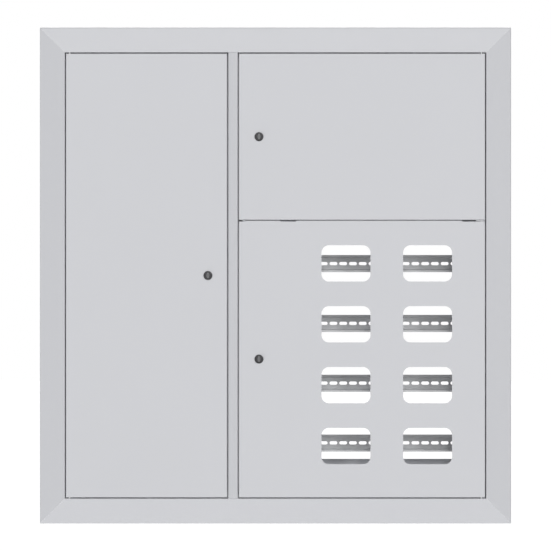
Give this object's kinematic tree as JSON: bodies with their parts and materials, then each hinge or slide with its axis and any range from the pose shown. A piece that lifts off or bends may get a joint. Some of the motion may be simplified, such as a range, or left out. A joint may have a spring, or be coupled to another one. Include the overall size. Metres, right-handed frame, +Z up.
{
  "type": "floor distribution board",
  "caption": "Recessed floor distribution board in folded sheet steel: mitred trim, lockable hinged doors, windows over meter rails, breaker and communications compartments, open back",
  "frame": {"origin": "middle of the four anchor holes, on the rear plane of the carcass", "axes": "+X to the right seen from the front, +Y into the wall, +Z up; the doors face -Y"},
  "size_m": [0.95, 0.152, 1],
  "materials": {
    "trim_paint": "light grey fine-texture powder coat, satin",
    "door_paint": "light grey fine-texture powder coat, satin",
    "carcass_paint": "light grey powder coat, satin",
    "zinc_rail": "bright zinc-plated rolled steel",
    "zinc_sheet": "galvanised sheet steel",
    "zinc_fastener": "zinc-plated turned steel",
    "lock_black": "black coated die casting, satin",
    "lock_core": "dark core with a bare grey key boss",
    "brass_bar": "drawn brass",
    "insulator_plastic": "moulded blue insulator"
  },
  "bodies": {
    "carcass": {"trim_top": "trim_paint", "trim_bottom": "trim_paint", "trim_left": "trim_paint", "trim_right": "trim_paint", "left_side_wall": "carcass_paint", "right_side_wall": "carcass_paint", "top_wall": "carcass_paint", "bottom_wall": "carcass_paint", "mullion": "trim_paint", "partition_plate": "carcass_paint", "crossbar": "carcass_paint", "shelf_plate": "carcass_paint", "meter_upright_left": "zinc_sheet", "meter_upright_centre": "zinc_sheet", "meter_upright_right": "zinc_sheet", "meter_rail_left_1": "zinc_rail", "meter_rail_left_2": "zinc_rail", "meter_rail_left_3": "zinc_rail", "meter_rail_left_4": "zinc_rail", "meter_rail_right_1": "zinc_rail", "meter_rail_right_2": "zinc_rail", "meter_rail_right_3": "zinc_rail", "meter_rail_right_4": "zinc_rail", "breaker_rail_upper": "zinc_rail", "breaker_rail_lower": "zinc_rail", "breaker_upright_left": "zinc_sheet", "breaker_upright_right": "zinc_sheet", "mounting_screws": "zinc_fastener", "neutral_bar": "brass_bar", "earth_bar": "brass_bar", "neutral_insulators": "insulator_plastic", "earth_standoffs": "zinc_fastener", "bar_screws": "zinc_fastener", "comms_mounting_plate": "zinc_sheet", "comms_strips": "zinc_sheet", "frame_hinge_pins": "zinc_fastener", "centre_hinge_tab": "carcass_paint", "centre_hinge_pin": "zinc_fastener", "frame_earth_stud": "zinc_fastener"},
    "left_door": {"left_door": "door_paint", "left_lock_body": "lock_black", "left_lock_nut": "zinc_fastener", "left_door_earth_stud": "zinc_fastener"},
    "upper_door": {"upper_door": "door_paint", "upper_lock_body": "lock_black", "upper_lock_nut": "zinc_fastener", "upper_door_earth_stud": "zinc_fastener"},
    "lower_door": {"lower_door": "door_paint", "lower_lock_body": "lock_black", "lower_lock_nut": "zinc_fastener", "lower_door_earth_stud": "zinc_fastener"},
    "left_lock": {"left_lock_rotor": "lock_core", "left_lock_cam": "zinc_fastener", "left_cam_screw": "zinc_fastener"},
    "upper_lock": {"upper_lock_rotor": "lock_core", "upper_lock_cam": "zinc_fastener", "upper_cam_screw": "zinc_fastener"},
    "lower_lock": {"lower_lock_rotor": "lock_core", "lower_lock_cam": "zinc_fastener", "lower_cam_screw": "zinc_fastener"}
  },
  "joints": [
    {"name": "left_door_hinge", "type": "hinge", "parent": "carcass", "child": "left_door", "pos_m": [-0.4145, -0.145, 0], "axis": [0, 0, -1], "range_deg": [0, 110]},
    {"name": "upper_door_hinge", "type": "hinge", "parent": "carcass", "child": "upper_door", "pos_m": [0.4145, -0.145, 0.27925], "axis": [0, 0, 1], "range_deg": [0, 110]},
    {"name": "lower_door_hinge", "type": "hinge", "parent": "carcass", "child": "lower_door", "pos_m": [0.4145, -0.145, -0.16805], "axis": [0, 0, 1], "range_deg": [0, 110]},
    {"name": "left_lock_turn", "type": "hinge", "parent": "left_door", "child": "left_lock", "pos_m": [-0.1359, -0.14, 0], "axis": [0, 1, 0], "range_deg": [0, 90]},
    {"name": "upper_lock_turn", "type": "hinge", "parent": "upper_door", "child": "upper_lock", "pos_m": [-0.0332, -0.14, 0.27925], "axis": [0, -1, 0], "range_deg": [0, 90]},
    {"name": "lower_lock_turn", "type": "hinge", "parent": "lower_door", "child": "lower_lock", "pos_m": [-0.0332, -0.14, -0.16805], "axis": [0, -1, 0], "range_deg": [0, 90]}
  ]
}
